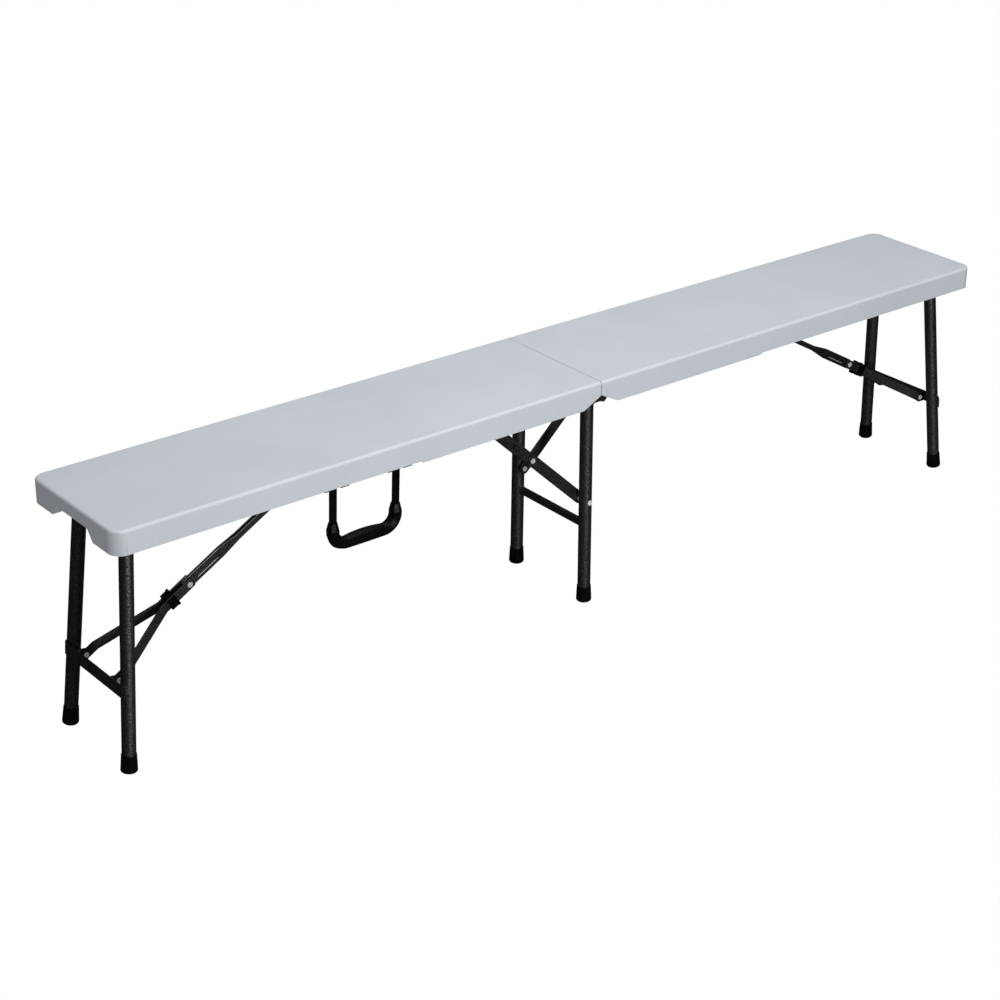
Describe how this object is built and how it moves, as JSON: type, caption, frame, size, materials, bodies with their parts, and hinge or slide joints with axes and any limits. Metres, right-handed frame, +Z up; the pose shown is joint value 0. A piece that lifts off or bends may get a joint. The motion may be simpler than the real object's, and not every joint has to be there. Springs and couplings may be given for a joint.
{
  "type": "folding bench",
  "caption": "Long bi-fold bench: moulded plastic seat in two hinged halves, tubular steel legs, locking folding braces and a carry handle.",
  "frame": {"origin": "floor point under the seam, midway along and across the bench", "axes": "+X along the bench towards the end without the handle, +Y across it away from the handle, +Z up from the floor"},
  "size_m": [1.83, 0.25, 0.42],
  "materials": {
    "top_plastic": "fine-textured light blue-grey polyethylene",
    "frame_steel": "charcoal hammertone powder coat",
    "black_plastic": "satin black plastic",
    "zinc_steel": "bright zinc plate"
  },
  "bodies": {
    "centre_frame": {"center_leg_near": "frame_steel", "center_leg_far": "frame_steel", "center_top_tube": "frame_steel", "center_crossbar": "frame_steel", "hinge_links": "frame_steel", "hinge_pins": "zinc_steel", "center_foot_caps": "black_plastic", "stay_leg_rivets": "zinc_steel"},
    "left_half": {"left_top": "top_plastic", "left_hinge_brackets": "frame_steel", "left_leg_clips": "frame_steel", "left_brace_anchor": "frame_steel", "left_stay_anchor": "frame_steel", "left_anchor_pins": "zinc_steel", "left_bracket_screws": "zinc_steel", "handle_retainers": "frame_steel"},
    "left_legs": {"left_leg_near": "frame_steel", "left_leg_far": "frame_steel", "left_leg_pivot_tube": "frame_steel", "left_leg_crossbar": "frame_steel", "left_brace_lugs": "frame_steel", "left_lug_rivets": "zinc_steel", "left_foot_caps": "black_plastic"},
    "left_brace_arms": {"left_brace_arm_near": "frame_steel", "left_brace_arm_far": "frame_steel", "left_knee_rivets": "zinc_steel"},
    "left_brace_channel_link": {"left_brace_channel": "frame_steel", "left_knee_pin": "zinc_steel"},
    "left_lock": {"left_lock_collars": "black_plastic"},
    "left_stay_lower": {"left_stay_bar": "frame_steel", "left_stay_bar_rivet": "zinc_steel"},
    "left_stay_upper": {"left_stay_channel": "frame_steel", "left_stay_channel_rivet": "zinc_steel"},
    "right_half": {"right_top": "top_plastic", "right_hinge_brackets": "frame_steel", "right_leg_clips": "frame_steel", "right_brace_anchor": "frame_steel", "right_stay_anchor": "frame_steel", "right_anchor_pins": "zinc_steel", "right_bracket_screws": "zinc_steel"},
    "right_legs": {"right_leg_near": "frame_steel", "right_leg_far": "frame_steel", "right_leg_pivot_tube": "frame_steel", "right_leg_crossbar": "frame_steel", "right_brace_lugs": "frame_steel", "right_lug_rivets": "zinc_steel", "right_foot_caps": "black_plastic"},
    "right_brace_arms": {"right_brace_arm_near": "frame_steel", "right_brace_arm_far": "frame_steel", "right_knee_rivets": "zinc_steel"},
    "right_brace_channel_link": {"right_brace_channel": "frame_steel", "right_knee_pin": "zinc_steel"},
    "right_lock": {"right_lock_collars": "black_plastic"},
    "right_stay_lower": {"right_stay_bar": "frame_steel", "right_stay_bar_rivet": "zinc_steel"},
    "right_stay_upper": {"right_stay_channel": "frame_steel", "right_stay_channel_rivet": "zinc_steel"},
    "handle": {"handle_arms": "black_plastic", "handle_grip": "black_plastic"}
  },
  "joints": [
    {"name": "left_fold", "type": "hinge", "parent": "centre_frame", "child": "left_half", "pos_m": [-0.012, 0, 0.385], "axis": [0, -1, 0], "range_deg": [0, 90]},
    {"name": "left_leg_fold", "type": "hinge", "parent": "left_half", "child": "left_legs", "pos_m": [-0.864, 0, 0.391], "axis": [0, -1, 0], "range_deg": [0, 95.3]},
    {"name": "left_brace_foot", "type": "hinge", "parent": "left_legs", "child": "left_brace_arms", "pos_m": [-0.886, 0, 0.137], "axis": [0, -1, 0], "range_deg": [0, 53.5]},
    {"name": "left_brace_top", "type": "hinge", "parent": "left_half", "child": "left_brace_channel_link", "pos_m": [-0.447, 0, 0.39], "axis": [0, 1, 0], "range_deg": [0, 30.5]},
    {"name": "left_stay_foot", "type": "hinge", "parent": "centre_frame", "child": "left_stay_lower", "pos_m": [0, 0, 0.19], "axis": [0, 1, 0], "range_deg": [0, 45.7]},
    {"name": "left_stay_top", "type": "hinge", "parent": "left_half", "child": "left_stay_upper", "pos_m": [-0.212, 0, 0.39], "axis": [0, -1, 0], "range_deg": [0, 38]},
    {"name": "left_lock_slide", "type": "slide", "parent": "left_brace_arms", "child": "left_lock", "axis": [0.8618, 0, 0.5073], "range_m": [0, 0.014]},
    {"name": "right_fold", "type": "hinge", "parent": "centre_frame", "child": "right_half", "pos_m": [0.012, 0, 0.385], "axis": [0, 1, 0], "range_deg": [0, 90]},
    {"name": "right_leg_fold", "type": "hinge", "parent": "right_half", "child": "right_legs", "pos_m": [0.864, 0, 0.391], "axis": [0, 1, 0], "range_deg": [0, 95.3]},
    {"name": "right_brace_foot", "type": "hinge", "parent": "right_legs", "child": "right_brace_arms", "pos_m": [0.886, 0, 0.137], "axis": [0, 1, 0], "range_deg": [0, 53.5]},
    {"name": "right_brace_top", "type": "hinge", "parent": "right_half", "child": "right_brace_channel_link", "pos_m": [0.447, 0, 0.39], "axis": [0, -1, 0], "range_deg": [0, 30.5]},
    {"name": "right_stay_foot", "type": "hinge", "parent": "centre_frame", "child": "right_stay_lower", "pos_m": [0, 0, 0.19], "axis": [0, -1, 0], "range_deg": [0, 45.7]},
    {"name": "right_stay_top", "type": "hinge", "parent": "right_half", "child": "right_stay_upper", "pos_m": [0.212, 0, 0.39], "axis": [0, 1, 0], "range_deg": [0, 38]},
    {"name": "right_lock_slide", "type": "slide", "parent": "right_brace_arms", "child": "right_lock", "axis": [-0.8618, 0, 0.5073], "range_m": [0, 0.014]},
    {"name": "handle_swing", "type": "hinge", "parent": "left_half", "child": "handle", "pos_m": [-0.4705, -0.115, 0.3797], "axis": [-1, 0, 0], "range_deg": [0, 90]}
  ],
  "couplings": [
    {"joint": "left_leg_fold", "follows": "left_fold", "ratio": 1.0584},
    {"joint": "left_brace_foot", "follows": "left_fold", "ratio": 0.59352},
    {"joint": "left_brace_top", "follows": "left_fold", "ratio": 0.33887},
    {"joint": "left_stay_foot", "follows": "left_fold", "ratio": 0.50649},
    {"joint": "left_stay_top", "follows": "left_fold", "ratio": 0.42081},
    {"joint": "right_fold", "follows": "left_fold", "ratio": 1},
    {"joint": "right_leg_fold", "follows": "left_fold", "ratio": 1.0584},
    {"joint": "right_brace_foot", "follows": "left_fold", "ratio": 0.59352},
    {"joint": "right_brace_top", "follows": "left_fold", "ratio": 0.33887},
    {"joint": "right_stay_foot", "follows": "left_fold", "ratio": 0.50649},
    {"joint": "right_stay_top", "follows": "left_fold", "ratio": 0.42081},
    {"joint": "handle_swing", "follows": "left_fold", "ratio": 1}
  ]
}
